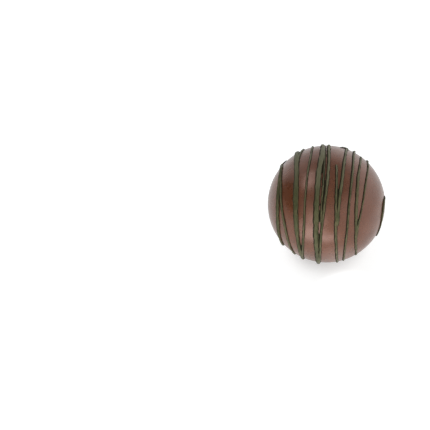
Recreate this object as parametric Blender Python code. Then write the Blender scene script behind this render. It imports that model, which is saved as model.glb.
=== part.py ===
"""Hot chocolate sphere: a milk chocolate ball with green chocolate drizzled over one side.

Units are metres with +Z up. The ball stands on a small flat spot at z = 0, and the origin
is the middle of that spot. The drizzle was poured back and forth over the side that faces -Y
and up, so its passes run from the upper rim of that side to the lower rim, where most
of them ran off the ball and end free.
"""

import math
from typing import NamedTuple

import bpy
from mathutils import Vector

MM = 0.001

# Driving dimensions
BALL_RADIUS = 30 * MM
FOOT_RADIUS = 5 * MM
BALL_CENTRE_HEIGHT = math.sqrt(BALL_RADIUS**2 - FOOT_RADIUS**2)

# The middle of the drizzled side points to -Y, this far above the horizon
POUR_ELEVATION = math.radians(41.6)

# A strand stands RISE_SHARE of its width proud of the ball, up to the tallest rise
RISE_SHARE = 0.46
TALLEST_RISE = 1.1 * MM
STRAND_SINK = 0.4 * MM

# A strand's tip is TIP_SHARE of its full size, and it is full again after half a width
TIP_SHARE = 0.45
BEAD_SWELL = 0.25
BEAD_REACH = 1.6 * MM

# Fineness of the meshes
BALL_SEGMENTS = 56
BALL_RINGS = 28
STRAND_STEP = 3.6 * MM
SMOOTH_UP_TO = math.radians(40)

# A strand's cross-section: its side and its shoulder, as shares of half its width and of
# its rise. Its crown is flat between the shoulders, and its base is sunk in the ball.
SECTION_SIDE = (1.0, 0.42)
SECTION_SHOULDER = (0.52, 1.0)

# Chocolate colours are linear RGB
MILK_CHOCOLATE = (0.155, 0.075, 0.048, 1.0)
GREEN_DRIZZLE = (0.052, 0.062, 0.030, 1.0)
CHOCOLATE_ROUGHNESS = 0.42
DRIZZLE_ROUGHNESS = 0.40

# A pass is set out by the sweep, the angle round the ball's left-right axis from the
# middle of the drizzled side: 90 degrees is its upper rim and -90 its lower rim.
STATIONS = (90, 60, 30, 0, -30, -60, -90)
WIDTH_STATIONS = (90, 0, -90)


class Pass(NamedTuple):
    """One run of drizzle: millimetres to the right at each station, its width in
    millimetres at the upper rim, the middle and the lower rim, the sweep angles where
    it starts and ends, whether its upper end swells into a bead, and how high it stands
    as a share of what its width would give it."""

    across: tuple
    widths: tuple
    start: float
    end: float
    bead: bool = False
    height: float = 1.0


PASSES = {
    "far_left": Pass((-22.8, -23.4, -24.1, -24.5, -24.5, -23.9, -21.9), (2.0, 2.2, 1.6), 86, -91),
    "left": Pass(
        (-22.6, -22.7, -22.6, -22.2, -20.4, -18.4, -15.9), (1.2, 1.3, 1.5), 78, -90, height=0.85
    ),
    "left_wide": Pass((-14.6, -14.9, -14.9, -15.2, -14.7, -13.3, -11.7), (2.0, 2.8, 1.8), 84, -94),
    "left_branch": Pass((-11.5, -13.7, -14.7, -15.0, -15.0, -14.0, -12.6), (1.5, 1.5, 1.5), 90, 28),
    "left_thin": Pass((-6.9, -7.6, -9.3, -10.6, -11.2, -11.9, -11.7), (1.4, 1.4, 1.6), 91, -92),
    "middle_wide": Pass((-1.9, -1.9, -3.8, -4.8, -5.1, -4.4, -3.8), (2.8, 3.2, 2.2), 81, -96),
    "middle_low": Pass(
        (-2.7, -1.7, -1.2, -2.3, -2.8, -2.8, -2.8), (1.5, 1.3, 1.2), 80, -20, height=0.8
    ),
    "middle": Pass((0.9, 1.0, 0.9, -0.9, -2.8, -3.5, -3.7), (2.2, 1.7, 1.5), 79, -94),
    "right_long": Pass((4.4, 4.9, 5.1, 4.7, 4.7, 5.1, 5.6), (0.9, 1.7, 1.6), 42, -86, height=0.85),
    "right_branch": Pass(
        (10.5, 9.4, 8.0, 6.2, 5.2, 5.0, 5.0), (1.5, 1.6, 1.6), 83, -22, bead=True, height=0.85
    ),
    "right": Pass((14.2, 13.6, 12.8, 11.2, 10.1, 9.0, 8.6), (1.6, 1.6, 1.4), 86, -83, bead=True),
    "right_swollen": Pass(
        (17.8, 17.1, 15.8, 15.3, 15.0, 15.0, 15.2), (1.2, 2.6, 1.4), 80, -87, height=0.65
    ),
    "right_slant": Pass(
        (20.8, 21.0, 19.8, 18.0, 15.6, 14.9, 14.9), (1.6, 1.4, 1.4), 90, -42, bead=True, height=0.8
    ),
    "far_right": Pass(
        (29.5, 29.5, 29.4, 28.8, 28.1, 27.3, 25.3), (0.9, 1.5, 1.2), 48, -91, height=0.9
    ),
}

# Where the pour turned on the ball itself it left a short hook: places along it, as
# millimetres to the right, sweep in degrees and width in millimetres
HOOKS = {
    "far_left_hook": (
        (-23.0, 82, 1.6), (-22.9, 87, 1.5), (-22.2, 90.5, 1.4), (-21.2, 92, 1.3), (-20.0, 91.5, 1.1)
    ),
    "right_branch_hook": (
        (10.2, 80, 1.4), (9.8, 83.5, 1.4), (8.9, 84, 1.3), (7.9, 82, 1.1), (7.0, 79.5, 0.9)
    ),
}


def clear_scene():
    """Removes every object."""
    for thing in list(bpy.data.objects):
        bpy.data.objects.remove(thing, do_unlink=True)


def principled(name, colour, roughness):
    """A Principled material of one colour."""
    material = bpy.data.materials.new(name)
    material.use_nodes = True
    shader = material.node_tree.nodes["Principled BSDF"]
    shader.inputs["Base Color"].default_value = colour
    shader.inputs["Roughness"].default_value = roughness
    shader.inputs["Metallic"].default_value = 0.0
    return material


def mesh_object(name, points, faces, material):
    """An object of those points and faces, with the material, linked to the scene."""
    mesh = bpy.data.meshes.new(name)
    mesh.from_pydata([tuple(point) for point in points], [], faces)
    mesh.materials.append(material)
    thing = bpy.data.objects.new(name, mesh)
    bpy.context.scene.collection.objects.link(thing)
    return thing


def through_stations(values, stations, place):
    """The smooth curve through evenly spaced values, read at a place. Past the last
    station it runs on straight."""
    step = stations[1] - stations[0]
    position = (place - stations[0]) / step
    last = len(values) - 1
    if position <= 0:
        return values[0] + position * (values[1] - values[0])
    if position >= last:
        return values[last] + (position - last) * (values[last] - values[last - 1])
    index = int(position)
    t = position - index
    before = values[max(index - 1, 0)]
    here = values[index]
    there = values[index + 1]
    after = values[min(index + 2, last)]
    slope_here = (there - before) / 2
    slope_there = (after - here) / 2
    bend = 2 * (here - there) + slope_here + slope_there
    rise = 3 * (there - here) - 2 * slope_here - slope_there
    return here + t * (slope_here + t * (rise + t * bend))


def outward(across, sweep):
    """The unit vector from the ball's centre to a place on the drizzled side.

    across is in millimetres to the right, sweep in degrees from the middle of that side.
    """
    right = max(-0.999, min(0.999, across * MM / BALL_RADIUS))
    ring = math.sqrt(1 - right**2)
    elevation = POUR_ELEVATION + math.radians(sweep)
    return Vector((right, -ring * math.cos(elevation), ring * math.sin(elevation)))


def pass_width(run, sweep):
    """The width of a pass at a sweep angle, in millimetres."""
    clamped = max(STATIONS[-1], min(STATIONS[0], sweep))
    return through_stations(run.widths, WIDTH_STATIONS, clamped)


def route_over(places):
    """Directions from the ball's centre and widths, from (across, sweep, width) rows
    in millimetres and degrees."""
    return [(outward(across, sweep), width * MM) for across, sweep, width in places]


def pass_route(run):
    """The route of a pass, evenly stepped, with one more step near each tip."""
    middle = through_stations(run.across, STATIONS, 0) * MM
    ring = math.sqrt(BALL_RADIUS**2 - middle**2)
    steps = max(3, round(math.radians(run.start - run.end) * ring / STRAND_STEP))
    sweeps = [run.start + (run.end - run.start) * step / steps for step in range(steps + 1)]
    tip = math.degrees(run.widths[1] * MM / 2 / ring)
    sweeps.insert(1, run.start - tip)
    sweeps.insert(-1, run.end + tip)
    return route_over(
        (through_stations(run.across, STATIONS, sweep), sweep, pass_width(run, sweep))
        for sweep in sweeps
    )


def size_at(distance, width, bead):
    """A strand's size as a share of its full size, at a distance from the nearer tip."""
    inner = 1 - min(1, distance / (width / 2))
    share = 1 - (1 - TIP_SHARE) * inner**2
    if bead:
        share *= 1 + BEAD_SWELL * math.exp(-((distance / BEAD_REACH) ** 2))
    return share


def strand(name, route, material, bead=False, height=1.0):
    """A rope of chocolate along a route over the ball, half sunk in it, closed at both
    ends, which are rounded off. A bead swells its first end, and height scales its rise."""
    centre = Vector((0, 0, BALL_CENTRE_HEIGHT))
    directions = [direction for direction, width in route]
    lengths = [0.0]
    for before, after in zip(directions, directions[1:]):
        lengths.append(lengths[-1] + (after - before).length * BALL_RADIUS)
    points = []
    for index, (direction, width) in enumerate(route):
        to_first = lengths[index]
        to_last = lengths[-1] - lengths[index]
        share = size_at(min(to_first, to_last), width, bead and to_first < to_last)
        half = width / 2 * share
        rise = min(width * RISE_SHARE, TALLEST_RISE) * height * share
        ahead = directions[min(index + 1, len(route) - 1)]
        behind = directions[max(index - 1, 0)]
        sideways = (ahead - behind).cross(direction).normalized()
        surface = centre + direction * BALL_RADIUS
        outline = (
            (1.0, -STRAND_SINK),
            (SECTION_SIDE[0], rise * SECTION_SIDE[1]),
            (SECTION_SHOULDER[0], rise * SECTION_SHOULDER[1]),
            (-SECTION_SHOULDER[0], rise * SECTION_SHOULDER[1]),
            (-SECTION_SIDE[0], rise * SECTION_SIDE[1]),
            (-1.0, -STRAND_SINK),
        )
        for across, above in outline:
            points.append(surface + sideways * across * half + direction * above)
    sides = len(outline)
    faces = [tuple(range(sides))]
    for ring in range(len(route) - 1):
        for side in range(sides):
            here = ring * sides + side
            beside = ring * sides + (side + 1) % sides
            faces.append((here, here + sides, beside + sides, beside))
    last = (len(route) - 1) * sides
    faces.append(tuple(last + side for side in reversed(range(sides))))
    return mesh_object(name, points, faces, material)


def ball(name, material):
    """The chocolate ball, turned round the vertical, with its flat spot at z = 0."""
    foot_angle = math.asin(FOOT_RADIUS / BALL_RADIUS)
    points = []
    for ring in range(BALL_RINGS):
        polar = foot_angle + (math.pi - foot_angle) * ring / BALL_RINGS
        for segment in range(BALL_SEGMENTS):
            turn = 2 * math.pi * segment / BALL_SEGMENTS
            points.append(
                (
                    BALL_RADIUS * math.sin(polar) * math.cos(turn),
                    BALL_RADIUS * math.sin(polar) * math.sin(turn),
                    BALL_CENTRE_HEIGHT - BALL_RADIUS * math.cos(polar),
                )
            )
    points.append((0, 0, BALL_CENTRE_HEIGHT + BALL_RADIUS))
    top = len(points) - 1
    faces = [tuple(reversed(range(BALL_SEGMENTS)))]
    for ring in range(BALL_RINGS):
        for segment in range(BALL_SEGMENTS):
            here = ring * BALL_SEGMENTS + segment
            beside = ring * BALL_SEGMENTS + (segment + 1) % BALL_SEGMENTS
            if ring == BALL_RINGS - 1:
                faces.append((here, beside, top))
            else:
                faces.append((here, beside, beside + BALL_SEGMENTS, here + BALL_SEGMENTS))
    return mesh_object(name, points, faces, material)


def fuse(thing, strands):
    """Joins the strands to the thing with one Boolean union, and removes them."""
    group = bpy.data.collections.new("drizzle_strands")
    bpy.context.scene.collection.children.link(group)
    for piece in strands:
        bpy.context.scene.collection.objects.unlink(piece)
        group.objects.link(piece)
    union = thing.modifiers.new("fuse_drizzle", "BOOLEAN")
    union.operation = "UNION"
    union.operand_type = "COLLECTION"
    union.collection = group
    union.solver = "EXACT"
    bpy.context.view_layer.objects.active = thing
    bpy.ops.object.modifier_apply(modifier=union.name)
    for piece in list(group.objects):
        bpy.data.objects.remove(piece, do_unlink=True)
    bpy.data.collections.remove(group)


def build():
    """Makes the drizzled ball as one solid."""
    clear_scene()
    chocolate = principled("milk_chocolate", MILK_CHOCOLATE, CHOCOLATE_ROUGHNESS)
    drizzle = principled("green_drizzle", GREEN_DRIZZLE, DRIZZLE_ROUGHNESS)
    sphere = ball("chocolate_sphere", chocolate)
    sphere.data.materials.append(drizzle)
    strands = [
        strand("pass_" + name, pass_route(run), drizzle, run.bead, run.height)
        for name, run in PASSES.items()
    ]
    strands += [
        strand(name, route_over(places), drizzle) for name, places in HOOKS.items()
    ]
    fuse(sphere, strands)
    sphere.data.shade_smooth()
    sphere.data.set_sharp_from_angle(angle=SMOOTH_UP_TO)


build()
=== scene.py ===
"""Looks of a hot chocolate sphere: a milk chocolate ball with green chocolate drizzled over it.

Units are metres with +Z up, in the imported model's frame: the ball stands on a small flat
spot round the origin, and its drizzled side faces -Y and up. The drizzle is set out by two
numbers: millimetres to the right of the ball's middle, and the sweep, the angle round the
ball's left-right axis from the middle of the drizzled side, where 90 degrees is that side's
upper rim and -90 its lower rim.
"""

import logging
import math
import random
from dataclasses import dataclass
from enum import Enum

import bpy
import numpy as np
from mathutils import Euler, Matrix, Vector


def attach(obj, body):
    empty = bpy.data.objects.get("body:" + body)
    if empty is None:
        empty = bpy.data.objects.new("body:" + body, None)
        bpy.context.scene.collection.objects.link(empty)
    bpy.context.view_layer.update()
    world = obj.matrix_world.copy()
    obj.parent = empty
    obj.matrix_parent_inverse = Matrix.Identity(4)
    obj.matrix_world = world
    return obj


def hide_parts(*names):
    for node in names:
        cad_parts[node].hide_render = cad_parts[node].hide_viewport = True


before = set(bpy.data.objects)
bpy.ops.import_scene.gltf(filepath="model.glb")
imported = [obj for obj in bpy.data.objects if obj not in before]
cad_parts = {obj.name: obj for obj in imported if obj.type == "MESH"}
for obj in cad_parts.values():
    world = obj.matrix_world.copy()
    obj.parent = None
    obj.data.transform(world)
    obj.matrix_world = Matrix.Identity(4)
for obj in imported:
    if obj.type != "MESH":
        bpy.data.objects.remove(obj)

LOG = logging.getLogger("hot_chocolate_sphere")

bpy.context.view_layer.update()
CAD_NODE = "chocolate_sphere"
BODY = "root"

MM = 0.001

# Driving dimensions of the ball, in metres, and the direction of the pour
BALL_RADIUS = 30 * MM
FOOT_RADIUS = 5 * MM
BALL_CENTRE = Vector((0, 0, math.sqrt(BALL_RADIUS**2 - FOOT_RADIUS**2)))
POUR_ELEVATION = math.radians(41.6)

# Places where a pass's position and its width are given, in degrees of sweep
STATIONS = (90, 60, 30, 0, -30, -60, -90)
WIDTH_STATIONS = (90, 0, -90)

# How near a strand may come to the ball's left or right end, as a share of its radius
FARTHEST_ACROSS = 0.999

# Waves that make the ball uneven: how fast each runs along X, Y and Z, and its phase
BALL_WAVES = ((4.1, 0.0, 2.3, 0.7), (-3.1, 5.3, 0.0, 1.9), (0.0, 2.9, 6.7, 4.4))

# Inputs of an effect that are vectors
VECTOR_INPUTS = ("Position", "Normal")

# Where a strand meets the ball it has no gloss
FOOT_ROUGHNESS = 0.9

# How much of the ball's own slope is left out of the slope of a strand's flank
SLOPE_SHARE = 0.4

Colour = tuple[float, float, float]


class Tip(Enum):
    """How an end of a strand is shaped."""

    TAPERED = "thins out"
    BLUNT = "rounded off at full width"
    BEAD = "swells into a bead"


class Trait(Enum):
    """What wanders along a strand, with what it adds to the strand's seed."""

    WIDTH = 0
    RISE = 100
    PLACE = 200
    CREST = 300


class Side(Enum):
    """A part of the room, as a direction from the ball."""

    CEILING = (-0.02, -0.03, 1.0)
    LEFT = (-0.97, -0.05, 0.07)
    RIGHT = (1.0, -0.09, 0.09)
    FRONT = (-0.34, -0.935, 0.09)
    WINDOW = (-0.52, 0.00, 0.85)
    SKYLIGHT = (-0.44, 0.22, 0.87)
    BACK = (0.55, 0.83, 0.02)


def linear_blend(first: Colour, second: Colour, share: float) -> Colour:
    """The colour that lies the share of the way from the first to the second."""
    return tuple(a + (b - a) * share for a, b in zip(first, second))


def through_stations(
    values: tuple[float, ...], stations: tuple[float, ...], place: float
) -> float:
    """Reads the smooth curve through evenly spaced values.

    Args:
        values: The value at each station.
        stations: The places of the values, evenly spaced.
        place: Where to read the curve. Past the last station it runs on straight.

    Returns:
        The curve's value there.
    """
    position = (place - stations[0]) / (stations[1] - stations[0])
    last = len(values) - 1
    if position <= 0:
        return values[0] + position * (values[1] - values[0])
    if position >= last:
        return values[last] + (position - last) * (values[last] - values[last - 1])
    index = int(position)
    t = position - index
    before = values[max(index - 1, 0)]
    here = values[index]
    there = values[index + 1]
    after = values[min(index + 2, last)]
    slope_here = (there - before) / 2
    slope_there = (after - here) / 2
    bend = 2 * (here - there) + slope_here + slope_there
    rise = 3 * (there - here) - 2 * slope_here - slope_there
    return here + t * (slope_here + t * (rise + t * bend))


def outward(across: float, sweep: float) -> Vector:
    """The unit vector from the ball's centre to a place on the drizzled side.

    Args:
        across: Millimetres to the right.
        sweep: Degrees from the middle of the drizzled side.

    Returns:
        The direction, which is also the surface's normal there.
    """
    right = max(-FARTHEST_ACROSS, min(FARTHEST_ACROSS, across * MM / BALL_RADIUS))
    ring = math.sqrt(1 - right**2)
    elevation = POUR_ELEVATION + math.radians(sweep)
    return Vector((right, -ring * math.cos(elevation), ring * math.sin(elevation)))


def mesh_object(name: str, points: np.ndarray, faces: list[tuple[int, ...]]) -> bpy.types.Object:
    """Makes an object of points in metres and faces, and links it to the scene.

    Args:
        name: The object's name.
        points: One row for each vertex.
        faces: The vertices of each face.

    Returns:
        The new object.
    """
    mesh = bpy.data.meshes.new(name)
    mesh.from_pydata([tuple(point) for point in points], [], faces)
    mesh.validate()
    thing = bpy.data.objects.new(name, mesh)
    bpy.context.scene.collection.objects.link(thing)
    return thing


def apply_modifiers(thing: bpy.types.Object) -> None:
    """Makes what an object's modifiers give its own mesh."""
    graph = bpy.context.evaluated_depsgraph_get()
    mesh = bpy.data.meshes.new_from_object(thing.evaluated_get(graph))
    thing.modifiers.clear()
    old = thing.data
    thing.data = mesh
    bpy.data.meshes.remove(old)


def declare(thing: bpy.types.Object, slot: str) -> None:
    """Says that a piece rides on the ball, stands for its CAD node and has that finish."""
    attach(thing, BODY)
    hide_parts(CAD_NODE)
    LOG.info("%s: %d faces, finish %s", thing.name, len(thing.data.polygons), slot)


@dataclass(frozen=True)
class Wander:
    """A smooth irregularity along a line, the same each run.

    Args:
        seed: Picks the phases of its waves.
        wavelengths: The waves' lengths in metres.
        weakest: The least size of a wave, where the most is 1.
    """

    seed: int
    wavelengths: tuple[float, ...] = (37 * MM, 17 * MM, 8 * MM, 4.3 * MM)
    weakest: float = 0.7

    def at(self, distances: np.ndarray) -> np.ndarray:
        """Reads it at distances in metres: values from about -1 to 1."""
        draw = random.Random(self.seed)
        total = np.zeros(len(distances))
        for wavelength in self.wavelengths:
            phase = draw.uniform(0, 2 * math.pi)
            size = draw.uniform(self.weakest, 1.0)
            total += size * np.sin(2 * math.pi * distances / wavelength + phase)
        return total / math.sqrt(len(self.wavelengths))


@dataclass(frozen=True)
class RopeShape:
    """What the strands' cross-sections have in common, in metres and shares.

    Args:
        step: Distance between cross-sections.
        rise_share: A strand's rise above the ball as a share of its width.
        tallest: The most that a strand rises.
        sink: How deep a strand's base lies in the ball.
        taper: The length over which a tapered tip thins out.
        taper_end: Size of a tapered tip's end, as a share of its strand's.
        blunt_end: Size of any other tip's end, as a share of its strand's.
        bead_swell: How much wider a bead is than its strand.
        bead_reach: The length of a bead.
        width_wander: Irregularity of the width, as a share of it.
        rise_wander: Irregularity of the rise, as a share of it.
        side_wander: Irregularity of the place.
        lean: How far the crest leans to one side, as a share of half the width.
        skirt: Width of the thin edge that spreads out at each side of a strand's body.
        skirt_share: The most of half a strand's width that the edge takes up.
        skirt_rise: Height of that edge above the ball.
        profile: The body's cross-section from its foot to its crest, as shares of half
            its width and of the rise.
    """

    step: float = 0.5 * MM
    rise_share: float = 0.48
    tallest: float = 1.12 * MM
    sink: float = 0.4 * MM
    taper: float = 2.6 * MM
    taper_end: float = 0.35
    blunt_end: float = 0.2
    bead_swell: float = 0.30
    bead_reach: float = 1.5 * MM
    width_wander: float = 0.10
    rise_wander: float = 0.06
    side_wander: float = 0.07 * MM
    lean: float = 0.14
    skirt: float = 0.28 * MM
    skirt_share: float = 0.35
    skirt_rise: float = 0.07 * MM
    profile: tuple[tuple[float, float], ...] = (
        (1.00, 0.10),
        (0.98, 0.32),
        (0.91, 0.56),
        (0.76, 0.79),
        (0.55, 0.92),
        (0.28, 0.99),
        (0.00, 1.00),
    )

    def outline(self, half: float, rise: float, crest: float) -> list[tuple[float, float]]:
        """A cross-section round from its right foot over the crest to its left foot.

        Args:
            half: Half the width.
            rise: Height of the crest above the ball.
            crest: How far the crest leans to the right, as a share of half the width.

        Returns:
            Pairs of distance to the right and height above the ball.
        """
        body = half - min(self.skirt, self.skirt_share * half)
        right = [(body * (x + crest * z * z), rise * z) for x, z in self.profile]
        left = [(body * (crest * z * z - x), rise * z) for x, z in reversed(self.profile[:-1])]
        low = min(self.skirt_rise, rise * self.profile[0][1])
        return [(half, -self.sink), (half, low), *right, *left, (-half, low), (-half, -self.sink)]

    def tip_share(self, distance: float, half: float, tip: Tip) -> float:
        """A strand's size near a tip, as a share of its full size.

        Args:
            distance: Distance from the tip along the strand.
            half: Half the strand's width.
            tip: The tip's kind.

        Returns:
            The share, which is 1 away from the tip.
        """
        tapered = tip is Tip.TAPERED
        reach = self.taper if tapered else half
        end = self.taper_end if tapered else self.blunt_end
        inner = 1 - min(1, distance / reach)
        share = end + (1 - end) * math.sqrt(max(0.0, 1 - inner**2))
        if tip is Tip.BEAD:
            middle = (distance - half) / self.bead_reach
            share *= 1 + self.bead_swell * math.exp(-(middle**2))
        return share


@dataclass(frozen=True)
class Rope:
    """A run of drizzle. Its kinds say where it lies.

    Args:
        name: What the run is called.
        seed: Picks its irregularities.
        upper: The kind of its first tip.
        lower: The kind of its last tip.
    """

    name: str
    seed: int
    upper: Tip
    lower: Tip

    def places(self, step: float) -> list[tuple[float, float, float]]:
        """Places along the run: millimetres to the right, sweep, and width in millimetres."""
        raise NotImplementedError

    def height_share(self) -> float:
        """How high the run stands, as a share of what its width would give it."""
        return 1.0

    def wander(self, trait: Trait, lengths: np.ndarray) -> np.ndarray:
        """How a trait wanders at distances in metres along the run: about -1 to 1."""
        return Wander(self.seed + trait.value).at(lengths)

    def points(self, shape: RopeShape) -> tuple[np.ndarray, int]:
        """The vertices of the run's cross-sections.

        Args:
            shape: The form of the cross-sections.

        Returns:
            The vertices, cross-section by cross-section, and how many each one has.
        """
        places = self.places(shape.step)
        directions = [outward(across, sweep) for across, sweep, width in places]
        steps = [(b - a).length * BALL_RADIUS for a, b in zip(directions, directions[1:])]
        lengths = np.concatenate(([0.0], np.cumsum(steps)))
        wide = 1 + shape.width_wander * self.wander(Trait.WIDTH, lengths)
        tall = 1 + shape.rise_wander * self.wander(Trait.RISE, lengths)
        aside = shape.side_wander * self.wander(Trait.PLACE, lengths)
        crest = shape.lean * self.wander(Trait.CREST, lengths)
        points = []
        for index, (across, sweep, width) in enumerate(places):
            half = width * MM / 2 * wide[index]
            share = min(
                shape.tip_share(lengths[index], half, self.upper),
                shape.tip_share(lengths[-1] - lengths[index], half, self.lower),
                key=lambda value: value if value < 1 else 1 / value,
            )
            half *= share
            usual = min(width * MM * shape.rise_share, shape.tallest) * self.height_share()
            rise = usual * tall[index] * share
            direction = directions[index]
            ahead = directions[min(index + 1, len(places) - 1)]
            behind = directions[max(index - 1, 0)]
            sideways = (ahead - behind).cross(direction).normalized()
            surface = BALL_CENTRE + direction * BALL_RADIUS + sideways * aside[index]
            outline = shape.outline(half, rise, crest[index])
            points += [surface + sideways * x + direction * z for x, z in outline]
        return np.array(points), len(points) // len(places)


@dataclass(frozen=True)
class Pass(Rope):
    """A run from the ball's upper rim to its lower rim.

    Args:
        across: Millimetres to the right at each station.
        widths: Millimetres at the upper rim, the middle and the lower rim.
        start: The sweep where it starts.
        end: The sweep where it ends.
        height: How high it stands, as a share of what its width would give it.
    """

    across: tuple[float, ...]
    widths: tuple[float, float, float]
    start: float
    end: float
    height: float = 1.0

    def height_share(self) -> float:
        """How high the pass stands, as a share of what its width would give it."""
        return self.height

    def places(self, step: float) -> list[tuple[float, float, float]]:
        """Places along the pass, evenly spaced over its sweep."""
        middle = through_stations(self.across, STATIONS, 0) * MM
        ring = math.sqrt(BALL_RADIUS**2 - middle**2)
        count = round(math.radians(self.start - self.end) * ring / step)
        sweeps = [self.start + (self.end - self.start) * i / count for i in range(count + 1)]
        lowest, highest = WIDTH_STATIONS[-1], WIDTH_STATIONS[0]
        return [
            (
                through_stations(self.across, STATIONS, sweep),
                sweep,
                through_stations(self.widths, WIDTH_STATIONS, max(lowest, min(highest, sweep))),
            )
            for sweep in sweeps
        ]


@dataclass(frozen=True)
class Hook(Rope):
    """A short turn of the pour that came to lie on the ball.

    Args:
        marks: Places along it: millimetres to the right, sweep and width in millimetres.
        fewest_steps: The least number of steps that it's made in.
    """

    marks: tuple[tuple[float, float, float], ...]
    fewest_steps: int = 4

    def places(self, step: float) -> list[tuple[float, float, float]]:
        """Places along the hook, on a smooth curve through its marks."""
        stations = tuple(range(len(self.marks)))
        columns = list(zip(*self.marks))
        first = outward(*self.marks[0][:2])
        length = 0.0
        for across, sweep, width in self.marks[1:]:
            second = outward(across, sweep)
            length += (second - first).length * BALL_RADIUS
            first = second
        count = max(self.fewest_steps, round(length / step))
        spots = [stations[-1] * i / count for i in range(count + 1)]
        return [
            tuple(through_stations(column, stations, spot) for column in columns)
            for spot in spots
        ]


# Each pass: its name, seed and tips, then its place at each station, its widths, where it
# starts and ends, and its height
PASSES = (
    Pass("far_left", 1, Tip.BLUNT, Tip.BLUNT,
         (-22.4, -22.8, -23.6, -24.2, -24.2, -23.6, -21.8), (2.0, 2.5, 1.9), 86, -91),
    Pass("left", 2, Tip.TAPERED, Tip.BLUNT,
         (-22.6, -22.7, -22.6, -22.4, -20.7, -18.5, -15.9), (1.3, 1.9, 1.6), 78, -90, 0.85),
    Pass("left_wide", 3, Tip.BLUNT, Tip.BLUNT,
         (-14.6, -14.9, -14.9, -15.2, -14.7, -13.3, -11.7), (3.1, 3.2, 1.8), 84, -94),
    Pass("left_branch", 4, Tip.BLUNT, Tip.TAPERED,
         (-11.5, -13.7, -14.7, -15.0, -15.0, -14.0, -12.6), (1.5, 1.5, 1.5), 90, 28),
    Pass("left_thin", 5, Tip.BLUNT, Tip.BLUNT,
         (-6.9, -7.6, -9.3, -10.6, -11.2, -11.9, -11.7), (1.4, 1.4, 1.6), 91, -92),
    Pass("middle_wide", 6, Tip.BLUNT, Tip.BLUNT,
         (-1.9, -1.9, -3.8, -4.8, -5.2, -4.7, -4.0), (2.8, 3.2, 2.2), 81, -96),
    Pass("middle", 7, Tip.BLUNT, Tip.BLUNT,
         (1.2, 1.2, 0.9, -0.9, -2.6, -3.2, -3.6), (2.2, 1.7, 1.5), 79, -94),
    Pass("middle_low", 16, Tip.BLUNT, Tip.TAPERED,
         (-1.2, -0.8, -1.2, -2.3, -2.8, -2.8, -2.8), (1.5, 1.3, 1.2), 80, -20, 0.8),
    Pass("right_long", 8, Tip.TAPERED, Tip.BLUNT,
         (4.4, 4.9, 5.1, 4.7, 4.7, 5.1, 5.6), (0.9, 1.7, 1.6), 42, -86, 0.85),
    Pass("right_branch", 9, Tip.BEAD, Tip.TAPERED,
         (10.6, 9.5, 8.1, 6.2, 5.2, 5.0, 5.0), (1.6, 2.0, 1.6), 83, -22, 0.85),
    Pass("right", 10, Tip.BEAD, Tip.BLUNT,
         (14.2, 13.6, 12.8, 11.2, 10.1, 9.0, 8.6), (1.6, 1.6, 1.4), 86, -83),
    Pass("right_swollen", 11, Tip.BLUNT, Tip.BLUNT,
         (17.8, 17.1, 15.8, 14.9, 14.6, 14.9, 15.2), (1.2, 2.1, 1.4), 80, -87, 0.65),
    Pass("right_slant", 12, Tip.BEAD, Tip.TAPERED,
         (20.8, 21.0, 19.8, 18.0, 15.5, 14.8, 14.9), (1.6, 1.4, 1.4), 90, -42, 0.8),
    Pass("far_right", 13, Tip.TAPERED, Tip.BLUNT,
         (29.5, 29.5, 29.4, 28.8, 28.1, 27.3, 25.3), (0.9, 1.8, 1.3), 48, -91, 0.9),
)

HOOKS = (
    Hook("far_left_hook", 14, Tip.BLUNT, Tip.TAPERED, (
        (-23.0, 82, 1.6), (-22.9, 87, 1.5), (-22.2, 90.5, 1.4), (-21.2, 92, 1.3),
        (-20.0, 91.5, 1.1),
    )),
    Hook("right_branch_hook", 15, Tip.BLUNT, Tip.TAPERED, (
        (10.2, 80, 1.4), (9.8, 83.5, 1.4), (8.9, 84, 1.3), (7.9, 82, 1.1), (7.0, 79.5, 0.9),
    )),
)


class Graph:
    """A node tree under construction."""

    def __init__(self, tree: bpy.types.NodeTree) -> None:
        """Takes the tree to add nodes to."""
        self.tree = tree

    def node(
        self, kind: str, values: dict[str | int, object] | None = None, **settings: object
    ) -> bpy.types.Node:
        """Adds a node.

        Args:
            kind: Blender's name of the node's type.
            values: Input names or numbers, each with a socket to link from or a plain value.
            settings: The node's own properties.

        Returns:
            The new node.
        """
        node = self.tree.nodes.new(kind)
        for name, value in settings.items():
            setattr(node, name, value)
        for name, value in (values or {}).items():
            self.feed(node.inputs[name], value)
        return node

    def feed(self, socket: bpy.types.NodeSocket, value: object) -> None:
        """Links an output to an input, or sets the input's value."""
        if isinstance(value, bpy.types.NodeSocket):
            self.tree.links.new(value, socket)
        else:
            socket.default_value = value

    def maths(self, operation: str, *values: object) -> bpy.types.NodeSocket:
        """The result of a Math node on sockets or numbers."""
        node = self.node("ShaderNodeMath", operation=operation)
        for socket, value in zip(node.inputs, values):
            self.feed(socket, value)
        return node.outputs["Value"]

    def ramp(
        self, value: object, low: float, high: float, start: float = 0.0, end: float = 1.0
    ) -> bpy.types.NodeSocket:
        """Maps a value smoothly from low..high to start..end."""
        node = self.node(
            "ShaderNodeMapRange",
            {"Value": value, "From Min": low, "From Max": high, "To Min": start, "To Max": end},
            interpolation_type="SMOOTHSTEP",
        )
        return node.outputs["Result"]

    def blend(self, share: object, first: object, second: object) -> bpy.types.NodeSocket:
        """The number that lies the share of the way from the first to the second."""
        node = self.node("ShaderNodeMix", {"Factor": share, "A": first, "B": second})
        return node.outputs["Result"]

    def mix(self, share: object, first: object, second: object) -> bpy.types.NodeSocket:
        """The colour that lies the share of the way from the first to the second."""
        node = self.node("ShaderNodeMix", data_type="RGBA")
        for name, value in (("Factor", share), ("A", first), ("B", second)):
            sockets = [s for s in node.inputs if s.name == name and s.enabled]
            self.feed(sockets[0], value)
        return next(s for s in node.outputs if s.enabled)


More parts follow.
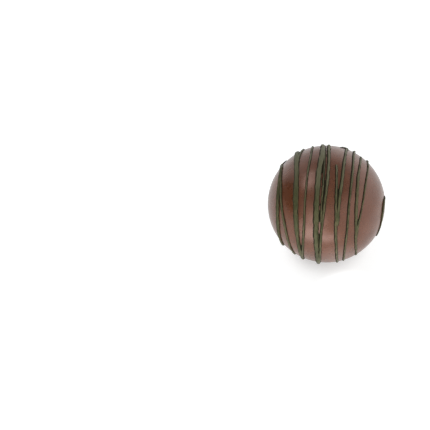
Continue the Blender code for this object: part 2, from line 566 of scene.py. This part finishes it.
class Effect:
    """A shader node group with named inputs and outputs, built once."""

    def __init__(self, name: str, inputs: dict[str, float], outputs: tuple[str, ...]) -> None:
        """Makes the empty group.

        Args:
            name: The group's name.
            inputs: Its inputs with their defaults, which only the numbers among them take.
            outputs: Its number outputs.
        """
        self.tree = bpy.data.node_groups.new(name, "ShaderNodeTree")
        for label, default in inputs.items():
            vector = label in VECTOR_INPUTS
            kind = "NodeSocketVector" if vector else "NodeSocketFloat"
            socket = self.tree.interface.new_socket(label, in_out="INPUT", socket_type=kind)
            if not vector:
                socket.default_value = default
        for label in outputs:
            self.tree.interface.new_socket(label, in_out="OUTPUT", socket_type="NodeSocketFloat")
        self.graph = Graph(self.tree)
        self.entry = self.graph.node("NodeGroupInput").outputs
        self.exit = self.graph.node("NodeGroupOutput").inputs

    def noise(self, scale: object, detail: float, roughness: float = 0.5) -> bpy.types.NodeSocket:
        """A noise of that scale over the group's Position."""
        values = {"Scale": scale, "Detail": detail, "Roughness": roughness}
        node = self.graph.node(
            "ShaderNodeTexNoise", {"Vector": self.entry["Position"], **values}
        )
        return node.outputs["Fac"]

    def use(self, graph: Graph, values: dict[str, object]) -> bpy.types.NodeOutputs:
        """Adds the group to another tree and gives its outputs."""
        node = graph.node("ShaderNodeGroup", node_tree=self.tree)
        for label, value in values.items():
            graph.feed(node.inputs[label], value)
        return node.outputs


class Effects:
    """The effects that both chocolates share."""

    def __init__(self) -> None:
        """Builds the groups."""
        self.mottle = self.make_mottle()
        self.satin = self.make_satin()
        self.contact = self.make_contact()
        self.lee_shade = self.make_lee_shade()

    @staticmethod
    def make_mottle() -> Effect:
        """Uneven tone: clouds some millimetres across, with a faint speckle on them."""
        effect = Effect("mottle", {"Position": 0, "Clouds": 140, "Speckle": 2200}, ("Tone",))
        graph = effect.graph
        speckle_share = 0.25
        clouds = effect.noise(effect.entry["Clouds"], detail=3.0, roughness=0.55)
        speckle = effect.noise(effect.entry["Speckle"], detail=1.0)
        clouds = graph.maths("MULTIPLY", clouds, 1 - speckle_share)
        both = graph.maths("MULTIPLY_ADD", speckle, speckle_share, clouds)
        graph.feed(effect.exit["Tone"], graph.ramp(both, low=0.33, high=0.67))
        return effect

    @staticmethod
    def make_satin() -> Effect:
        """The satin of set chocolate: uneven roughness and a fine grain."""
        effect = Effect(
            "satin",
            {"Position": 0, "Smoothest": 0.3, "Roughest": 0.4, "Grain": 900},
            ("Roughness", "Height"),
        )
        graph = effect.graph
        patches = effect.noise(scale=230, detail=4.0, roughness=0.6)
        spread = graph.ramp(patches, low=0.35, high=0.65)
        span = graph.maths("SUBTRACT", effect.entry["Roughest"], effect.entry["Smoothest"])
        rough = graph.maths("MULTIPLY_ADD", spread, span, effect.entry["Smoothest"])
        graph.feed(effect.exit["Roughness"], rough)
        grain = effect.noise(effect.entry["Grain"], detail=3.0, roughness=0.6)
        swells = effect.noise(scale=150, detail=1.0)
        swell_height = 3.0
        height = graph.maths("MULTIPLY_ADD", swells, swell_height, grain)
        graph.feed(effect.exit["Height"], height)
        return effect

    @staticmethod
    def make_contact() -> Effect:
        """How far a place stands above the ball: 0 near its surface, 1 at the uneven reach."""
        effect = Effect("contact", {"Position": 0, "Reach": 0.5 * MM}, ("Above",))
        graph = effect.graph
        away = graph.node(
            "ShaderNodeVectorMath",
            {0: effect.entry["Position"], 1: BALL_CENTRE},
            operation="DISTANCE",
        )
        above = graph.maths("SUBTRACT", away.outputs["Value"], BALL_RADIUS)
        patches = effect.noise(scale=260, detail=2.0)
        unevenness = graph.ramp(patches, low=0.36, high=0.64, start=0.60, end=1.30)
        reach = graph.maths("MULTIPLY", effect.entry["Reach"], unevenness)
        share = graph.maths("DIVIDE", above, reach)
        graph.feed(effect.exit["Above"], graph.ramp(share, low=0.20, high=1.0))
        return effect

    @staticmethod
    def make_lee_shade() -> Effect:
        """Which way a flank faces, the mask of the painted shade on left flanks: 0 on the right
        of its strand, 1 on the left.
        """
        effect = Effect("lee_shade", {"Position": 0, "Normal": 0}, ("Left",))
        graph = effect.graph
        rest = graph.node(
            "ShaderNodeVectorMath",
            {0: effect.entry["Position"], "Scale": -SLOPE_SHARE / BALL_RADIUS},
            operation="SCALE",
        )
        lean = graph.node(
            "ShaderNodeVectorMath",
            {0: effect.entry["Normal"], 1: rest.outputs["Vector"]},
            operation="ADD",
        )
        aside = graph.node(
            "ShaderNodeVectorMath",
            {0: lean.outputs["Vector"], 1: (-1.0, 0.0, 0.0)},
            operation="DOT_PRODUCT",
        )
        graph.feed(effect.exit["Left"], graph.ramp(aside.outputs["Value"], low=0.34, high=0.54))
        return effect


@dataclass(frozen=True)
class ChocolateFinish:
    """A satin chocolate.

    Args:
        slot: The material slot's name, also the material's.
        pale: The colour of its paler clouds, linear.
        deep: The colour of its deeper clouds, linear.
        smoothest: Lowest roughness.
        roughest: Highest roughness.
        grain: Depth of the grain in metres.
        ior: Index of refraction, which sets how strongly it mirrors.
        tint: Colour of what it mirrors where it's seen straight on.
        foot: How much painted shade darkens it where it meets the ball, or 0 for the ball itself.
        reach: Height above the ball where that ends.
        lee_shade: How much of the same painted shade lies on the left flank of a strand.
        thin: The colour of low runs, paler than thick ones, linear.
        thick: Height above the ball where that colour ends.
        crown_reflection: The colour of runs at the top of the ball, a painted reflection that
            makes them paler, linear.
        crown_reflection_from: Height above the table where that painted reflection starts.
        crown_reflection_to: Height above the table where it's reached.
    """

    slot: str
    pale: Colour
    deep: Colour
    smoothest: float
    roughest: float
    grain: float
    ior: float = 1.5
    tint: Colour = (1.0, 1.0, 1.0)
    foot: float = 0.0
    reach: float = 0.5 * MM
    lee_shade: float = 0.0
    thin: Colour = (0.0, 0.0, 0.0)
    thick: float = 1.0 * MM
    crown_reflection: Colour = (0.0, 0.0, 0.0)
    crown_reflection_from: float = 50 * MM
    crown_reflection_to: float = 60 * MM

    def material(self, effects: Effects) -> bpy.types.Material:
        """Builds the material.

        Args:
            effects: The shared node groups.

        Returns:
            The finished material.
        """
        material = bpy.data.materials.new(self.slot)
        material.use_nodes = True
        graph = Graph(material.node_tree)
        shader = material.node_tree.nodes["Principled BSDF"]
        position = graph.node("ShaderNodeTexCoord").outputs["Object"]
        tone = effects.mottle.use(graph, {"Position": position})["Tone"]
        colour = graph.mix(tone, (*self.deep, 1.0), (*self.pale, 1.0))
        satin = effects.satin.use(
            graph,
            {"Position": position, "Smoothest": self.smoothest, "Roughest": self.roughest},
        )
        rough = satin["Roughness"]
        # Painted shade: the foot of each run and its left flank are darkened toward black
        if self.foot:
            colour = self.by_height(graph, effects, position, colour)
            out_of_painted_shade = self.out_of_shade(graph, effects, position)
            shaded = linear_blend(self.thin, (0.0, 0.0, 0.0), self.foot)
            colour = graph.mix(out_of_painted_shade, (*shaded, 1.0), colour)
            rough = graph.blend(out_of_painted_shade, FOOT_ROUGHNESS, rough)
        graph.feed(shader.inputs["Base Color"], colour)
        graph.feed(shader.inputs["Roughness"], rough)
        bump = graph.node(
            "ShaderNodeBump",
            {"Height": satin["Height"], "Strength": 1.0, "Distance": self.grain},
        )
        graph.feed(shader.inputs["Normal"], bump.outputs["Normal"])
        shader.inputs["IOR"].default_value = self.ior
        shader.inputs["Specular Tint"].default_value = (*self.tint, 1.0)
        return material

    def by_height(
        self, graph: Graph, effects: Effects, position: object, colour: object
    ) -> bpy.types.NodeSocket:
        """Changes the colour where a run is low, and paints a paler reflection at the top of the
        ball.

        Args:
            graph: The material's node tree.
            effects: The shared node groups.
            position: The place on the run, a vector socket.
            colour: The colour that thick runs have.

        Returns:
            The colour with both changes.
        """
        high = effects.contact.use(graph, {"Position": position, "Reach": self.thick})["Above"]
        colour = graph.mix(high, (*self.thin, 1.0), colour)
        level = graph.node("ShaderNodeSeparateXYZ", {"Vector": position}).outputs["Z"]
        crown_reflection = graph.ramp(level, self.crown_reflection_from, self.crown_reflection_to)
        return graph.mix(crown_reflection, colour, (*self.crown_reflection, 1.0))

    def out_of_shade(
        self, graph: Graph, effects: Effects, position: object
    ) -> bpy.types.NodeSocket:
        """How far a place is out of the painted shade at the foot and on the left flank of a run.

        Args:
            graph: The material's node tree.
            effects: The shared node groups.
            position: The place on the run, a vector socket.

        Returns:
            0 in full painted shade and 1 out of it.
        """
        facing = graph.node("ShaderNodeTexCoord").outputs["Normal"]
        left = effects.lee_shade.use(graph, {"Position": position, "Normal": facing})["Left"]
        above = effects.contact.use(graph, {"Position": position, "Reach": self.reach})["Above"]
        lit = graph.maths("MULTIPLY_ADD", left, -self.lee_shade, 1.0)
        return graph.maths("MULTIPLY", above, lit)


MILK_CHOCOLATE = ChocolateFinish(
    slot="milk_chocolate",
    pale=(0.105, 0.0345, 0.0130),
    deep=(0.083, 0.0250, 0.0078),
    smoothest=0.25,
    roughest=0.32,
    grain=0.006 * MM,
    ior=1.73,
    tint=(1.0, 0.70, 0.63),
)
GREEN_DRIZZLE = ChocolateFinish(
    slot="green_drizzle",
    pale=(0.050, 0.054, 0.024),
    deep=(0.038, 0.041, 0.016),
    smoothest=0.44,
    roughest=0.56,
    grain=0.010 * MM,
    ior=1.38,
    tint=(1.0, 0.90, 0.58),
    # Painted shade at the foot of each run and on its left flanks
    foot=0.94,
    reach=0.62 * MM,
    lee_shade=0.85,
    thin=(0.114, 0.098, 0.050),
    thick=1.12 * MM,
    # Painted reflection: runs at the top of the ball are paler
    crown_reflection=(0.105, 0.102, 0.060),
    crown_reflection_from=51 * MM,
    crown_reflection_to=59 * MM,
)


@dataclass(frozen=True)
class ChocolateBall:
    """The moulded ball: two half shells that were joined rim to rim.

    Its rings run round the direction of the pour, so that the seam between the half
    shells is one of them.

    Args:
        segments: Faces round each ring.
        rings: Evenly spaced rings from pole to pole, besides those at the seam.
        seam_polar: The seam's angle from the middle of the drizzled side, in degrees.
        seam_depth: Depth of the seam's groove.
        seam_width: Width of the groove.
        seam_rings: How many finer-spaced rings lie at each side of the seam's middle.
        rings_per_groove: How many of those gaps make up the groove's width.
        least_gap: How near an even ring may be to one of those, as a share of their gap.
        waviness: How far the surface strays from a true ball.
    """

    segments: int = 288
    rings: int = 160
    seam_polar: float = 97.5
    seam_depth: float = 0.16 * MM
    seam_width: float = 0.55 * MM
    seam_rings: int = 6
    rings_per_groove: int = 3
    least_gap: float = 0.7
    waviness: float = 0.035 * MM

    def polars(self) -> list[float]:
        """The rings' angles from the middle of the drizzled side, finer at the seam."""
        seam = math.radians(self.seam_polar)
        fine = self.seam_width / BALL_RADIUS / self.rings_per_groove
        extra = [seam + fine * step for step in range(-self.seam_rings, self.seam_rings + 1)]
        even = [math.pi * ring / self.rings for ring in range(1, self.rings)]
        least = fine * self.least_gap
        apart = [polar for polar in even if min(abs(polar - e) for e in extra) > least]
        return sorted(apart + extra)

    def radius_at(self, direction: Vector, polar: float) -> float:
        """The ball's radius in a direction, with its waviness and its seam.

        Args:
            direction: Unit vector from the ball's centre.
            polar: Angle of the direction from the middle of the drizzled side.

        Returns:
            The radius in metres.
        """
        waves = sum(
            math.sin(x * direction.x + y * direction.y + z * direction.z + phase)
            for x, y, z, phase in BALL_WAVES
        )
        off_seam = (polar - math.radians(self.seam_polar)) * BALL_RADIUS / self.seam_width
        groove = self.seam_depth * math.exp(-2 * off_seam**2)
        return BALL_RADIUS + self.waviness * waves / len(BALL_WAVES) - groove

    def build(self, material: bpy.types.Material) -> bpy.types.Object:
        """Makes the ball.

        Args:
            material: Its finish.

        Returns:
            The ball, standing on its flat spot.
        """
        pole = outward(0, 0)
        right = Vector((1, 0, 0))
        upward = pole.cross(right)
        rows = self.polars()
        points = [BALL_CENTRE + pole * self.radius_at(pole, 0)]
        for polar in rows:
            for segment in range(self.segments):
                turn = 2 * math.pi * segment / self.segments
                side = right * math.cos(turn) + upward * math.sin(turn)
                direction = pole * math.cos(polar) + side * math.sin(polar)
                points.append(BALL_CENTRE + direction * self.radius_at(direction, polar))
        points.append(BALL_CENTRE - pole * self.radius_at(-pole, math.pi))
        points = np.array(points)
        points[:, 2] = np.maximum(points[:, 2], 0.0)
        ball = mesh_object("milk_chocolate_ball", points, self.faces(len(rows)))
        ball.data.materials.append(material)
        ball.data.shade_smooth()
        declare(ball, MILK_CHOCOLATE.slot)
        return ball

    def faces(self, rows: int) -> list[tuple[int, ...]]:
        """The faces between the rows of vertices, and the fans at the two poles."""
        count = self.segments
        last = 1 + rows * count
        faces = []
        for segment in range(count):
            beside = (segment + 1) % count
            faces.append((0, 1 + segment, 1 + beside))
            low = 1 + (rows - 1) * count
            faces.append((last, low + beside, low + segment))
        for row in range(rows - 1):
            start = 1 + row * count
            for segment in range(count):
                beside = (segment + 1) % count
                below = start + count
                faces.append((start + segment, below + segment, below + beside, start + beside))
        return faces


@dataclass(frozen=True)
class Drizzle:
    """All the strands of green chocolate, run together where they touch.

    Args:
        passes: The runs from rim to rim.
        hooks: The short turns.
        shape: The form of their cross-sections.
        voxel: Fineness of the mesh that they are joined in, in metres.
        smoothing: How often the joined mesh is smoothed.
        softness: How far each smoothing draws a vertex to the middle of those round it.
        share_kept: The share of that mesh's faces that is kept.
    """

    passes: tuple[Pass, ...] = PASSES
    hooks: tuple[Hook, ...] = HOOKS
    shape: RopeShape = RopeShape()
    voxel: float = 0.16 * MM
    smoothing: int = 5
    softness: float = 0.5
    share_kept: float = 0.36

    def build(self, material: bpy.types.Material) -> bpy.types.Object:
        """Makes the drizzle.

        Args:
            material: Its finish.

        Returns:
            One piece with all the strands.
        """
        points = []
        faces = []
        for rope in (*self.passes, *self.hooks):
            rows, sides = rope.points(self.shape)
            base = sum(len(block) for block in points)
            faces += self.tube_faces(base, len(rows) // sides, sides)
            points.append(rows)
            LOG.info("strand %s: %.0f mm", rope.name, self.shape.step / MM * len(rows) / sides)
        drizzle = mesh_object("green_drizzle", np.concatenate(points) / MM, faces)
        self.run_together(drizzle)
        drizzle.data.transform(Matrix.Scale(MM, 4))
        drizzle.data.materials.append(material)
        drizzle.data.shade_smooth()
        declare(drizzle, GREEN_DRIZZLE.slot)
        return drizzle

    def run_together(self, drizzle: bpy.types.Object) -> None:
        """Joins overlapping strands into one skin, rounded where they meet."""
        remesh = drizzle.modifiers.new("join", "REMESH")
        remesh.mode = "VOXEL"
        remesh.voxel_size = self.voxel / MM
        smooth = drizzle.modifiers.new("settle", "SMOOTH")
        smooth.factor = self.softness
        smooth.iterations = self.smoothing
        fewer = drizzle.modifiers.new("lighten", "DECIMATE")
        fewer.ratio = self.share_kept
        apply_modifiers(drizzle)

    @staticmethod
    def tube_faces(base: int, rows: int, sides: int) -> list[tuple[int, ...]]:
        """The faces of a closed tube of cross-sections.

        Args:
            base: Number of the tube's first vertex.
            rows: How many cross-sections it has.
            sides: How many vertices each has.

        Returns:
            The faces, with both ends closed.
        """
        faces = [tuple(range(base, base + sides))]
        for row in range(rows - 1):
            for side in range(sides):
                here = base + row * sides + side
                beside = base + row * sides + (side + 1) % sides
                faces.append((here, here + sides, beside + sides, beside))
        last = base + (rows - 1) * sides
        faces.append(tuple(reversed(range(last, last + sides))))
        return faces


@dataclass(frozen=True)
class Glow:
    """A part of the room that is brighter or darker than the rest, with a soft edge.

    Args:
        side: Where it is.
        radiance: How bright it is.
        inner: Degrees from its middle to where it is at its full strength.
        outer: Degrees from its middle to where it ends.
    """

    side: Side
    radiance: float
    inner: float
    outer: float

    def over(self, graph: Graph, direction: object, below: object) -> bpy.types.NodeSocket:
        """Paints the glow over the room's light.

        Args:
            graph: The world's node tree.
            direction: The direction looked in, a vector socket.
            below: The radiance there without this glow.

        Returns:
            The radiance with it.
        """
        toward = graph.node(
            "ShaderNodeVectorMath",
            {0: direction, 1: Vector(self.side.value).normalized()},
            operation="DOT_PRODUCT",
        ).outputs["Value"]
        outer, inner = (math.cos(math.radians(angle)) for angle in (self.outer, self.inner))
        share = graph.ramp(toward, outer, inner)
        change = graph.maths("MULTIPLY", share, graph.maths("SUBTRACT", self.radiance, below))
        return graph.maths("ADD", below, change)


@dataclass(frozen=True)
class Pool:
    """A part of the table that glows more or less than the rest, with a soft edge: a painted pool
    of light, or painted shade where its radiance is negative.

    Args:
        middle: Where its middle is on the table, in metres.
        radiance: How much more it glows.
        inner: Distance from its middle to where it is at its full strength.
        outer: Distance from its middle to where it ends.
    """

    middle: tuple[float, float, float]
    radiance: float
    inner: float
    outer: float

    def over(self, graph: Graph, position: object, below: object) -> bpy.types.NodeSocket:
        """Adds the pool to the table's light.

        Args:
            graph: The table's node tree.
            position: The place on the table, a vector socket.
            below: The radiance there without this pool.

        Returns:
            The radiance with it.
        """
        away = graph.node(
            "ShaderNodeVectorMath", {0: position, 1: self.middle}, operation="DISTANCE"
        )
        more = graph.ramp(away.outputs["Value"], self.inner, self.outer, self.radiance, 0.0)
        return graph.maths("ADD", below, more)


@dataclass(frozen=True)
class Studio:
    """A white table, lit a little from below, in a pale room of soft light.

    Args:
        room: Radiance of the room's walls.
        glows: The parts of the room that differ from the walls.
        table: How pale the table is.
        fibre_shade: How pale its darker fibres are, as a share of that.
        fibres: How fine its fibres are, in patches a metre.
        table_roughness: How rough it is.
        table_gloss: How strongly it mirrors.
        table_glow: Radiance of the table's own light.
        table_tint: Colour of that light.
        pools: Painted pools of light on the table, and painted shade where the number is
            negative.
        table_size: The table's side.
    """

    room: float = 1.0
    glows: tuple[Glow, ...] = (
        Glow(Side.RIGHT, 1.45, 30, 70),
        Glow(Side.FRONT, 3.3, 6, 22),
        Glow(Side.CEILING, 0.40, 38, 62),
        Glow(Side.LEFT, 0.03, 22, 47),
        Glow(Side.WINDOW, 3.2, 6, 15),
        Glow(Side.SKYLIGHT, 3.0, 5, 13),
        Glow(Side.BACK, 1.50, 20, 36),
    )
    table: float = 0.60
    fibre_shade: float = 0.985
    fibres: float = 300
    table_roughness: float = 0.7
    table_gloss: float = 0.2
    table_glow: float = 0.69
    table_tint: Colour = (0.975, 0.998, 1.0)
    pools: tuple[Pool, ...] = (
        # Painted shadow round the ball's foot
        Pool((0, 0, 0), -0.25, 0.010, 0.024),
        # Painted pools of light, mirrored in the ball
        Pool((-0.040, -0.094, 0), 2.8, 0.014, 0.048),
        Pool((0.004, -0.098, 0), 2.9, 0.012, 0.036),
        Pool((-0.065, -0.17, 0), 3.2, 0.03, 0.08),
        Pool((-0.19, -0.32, 0), 2.0, 0.08, 0.20),
        Pool((0.012, -0.037, 0), 0.50, 0.008, 0.021),
        Pool((0.11, -0.02, 0), 0.22, 0.03, 0.08),
        # Painted shade at the left, mirrored in the ball
        Pool((-0.42, -0.10, 0), -0.65, 0.20, 0.25),
    )
    table_size: float = 6.0

    def build(self) -> None:
        """Adds the room and the table."""
        self.add_room()
        self.add_table()
        bpy.context.scene.view_settings.view_transform = "Standard"

    def add_room(self) -> None:
        """Lights the scene softly from all round."""
        world = bpy.data.worlds.new("pale_room")
        bpy.context.scene.world = world
        world.use_nodes = True
        graph = Graph(world.node_tree)
        direction = graph.node("ShaderNodeTexCoord").outputs["Generated"]
        radiance = self.room
        for glow in self.glows:
            radiance = glow.over(graph, direction, radiance)
            LOG.info("glow %s: radiance %.2f", glow.side.name.lower(), glow.radiance)
        graph.feed(world.node_tree.nodes["Background"].inputs["Strength"], radiance)
        graph.feed(world.node_tree.nodes["Background"].inputs["Color"], (1.0, 1.0, 1.0, 1.0))

    def add_table(self) -> None:
        """Adds the white table."""
        half = self.table_size / 2
        corners = np.array(
            [(-half, -half, 0), (half, -half, 0), (half, half, 0), (-half, half, 0)]
        )
        table = mesh_object("white_table", corners, [(0, 1, 2, 3)])
        material = bpy.data.materials.new("white_table")
        material.use_nodes = True
        graph = Graph(material.node_tree)
        shader = material.node_tree.nodes["Principled BSDF"]
        position = graph.node("ShaderNodeTexCoord").outputs["Object"]
        fibres = graph.node(
            "ShaderNodeTexNoise", {"Vector": position, "Scale": self.fibres, "Detail": 4.0}
        )
        tone = graph.ramp(fibres.outputs["Fac"], low=0.3, high=0.7)
        dim = (self.table * self.fibre_shade,) * 3
        colour = graph.mix(tone, (*dim, 1.0), (self.table, self.table, self.table, 1.0))
        graph.feed(shader.inputs["Base Color"], colour)
        shader.inputs["Roughness"].default_value = self.table_roughness
        shader.inputs["Specular IOR Level"].default_value = self.table_gloss
        radiance = self.table_glow
        for pool in self.pools:
            radiance = pool.over(graph, position, radiance)
        light = graph.node(
            "ShaderNodeVectorMath",
            {0: self.table_tint, "Scale": radiance},
            operation="SCALE",
        )
        graph.feed(shader.inputs["Emission Color"], light.outputs["Vector"])
        shader.inputs["Emission Strength"].default_value = 1.0
        table.data.materials.append(material)


@dataclass(frozen=True)
class Viewpoint:
    """The camera, which looks down at the ball, with the ball at the right of its view.

    Args:
        distance: From the ball's centre.
        elevation: Angle above the horizon.
        lens: Focal length in millimetres.
        sensor: Width of the sensor in millimetres.
        right: Degrees from the optical axis to the ball, to the right.
        above: Degrees from the optical axis to the ball, upwards.
    """

    distance: float = 0.872
    elevation: float = math.degrees(POUR_ELEVATION)
    lens: float = 142.2
    sensor: float = 36
    right: float = 3.749
    above: float = 0.371

    def build(self) -> None:
        """Adds the camera and makes it the scene's."""
        data = bpy.data.cameras.new("camera")
        data.lens = self.lens
        data.sensor_width = self.sensor
        camera = bpy.data.objects.new("camera", data)
        elevation = math.radians(self.elevation)
        back = Vector((0, -math.cos(elevation), math.sin(elevation)))
        aimed = (-back).to_track_quat("-Z", "Y").to_matrix()
        aside = Euler((-math.radians(self.above), math.radians(self.right), 0), "YXZ").to_matrix()
        place = Matrix.Translation(BALL_CENTRE + back * self.distance)
        camera.matrix_world = place @ (aimed @ aside).to_4x4()
        bpy.context.scene.collection.objects.link(camera)
        bpy.context.scene.camera = camera


def main() -> None:
    """Builds the pieces, the studio and the camera, in that order."""
    logging.basicConfig(level=logging.INFO, format="%(name)s: %(message)s")
    effects = Effects()
    ChocolateBall().build(MILK_CHOCOLATE.material(effects))
    Drizzle().build(GREEN_DRIZZLE.material(effects))
    Studio().build()
    Viewpoint().build()


if __name__ == "__main__":
    main()
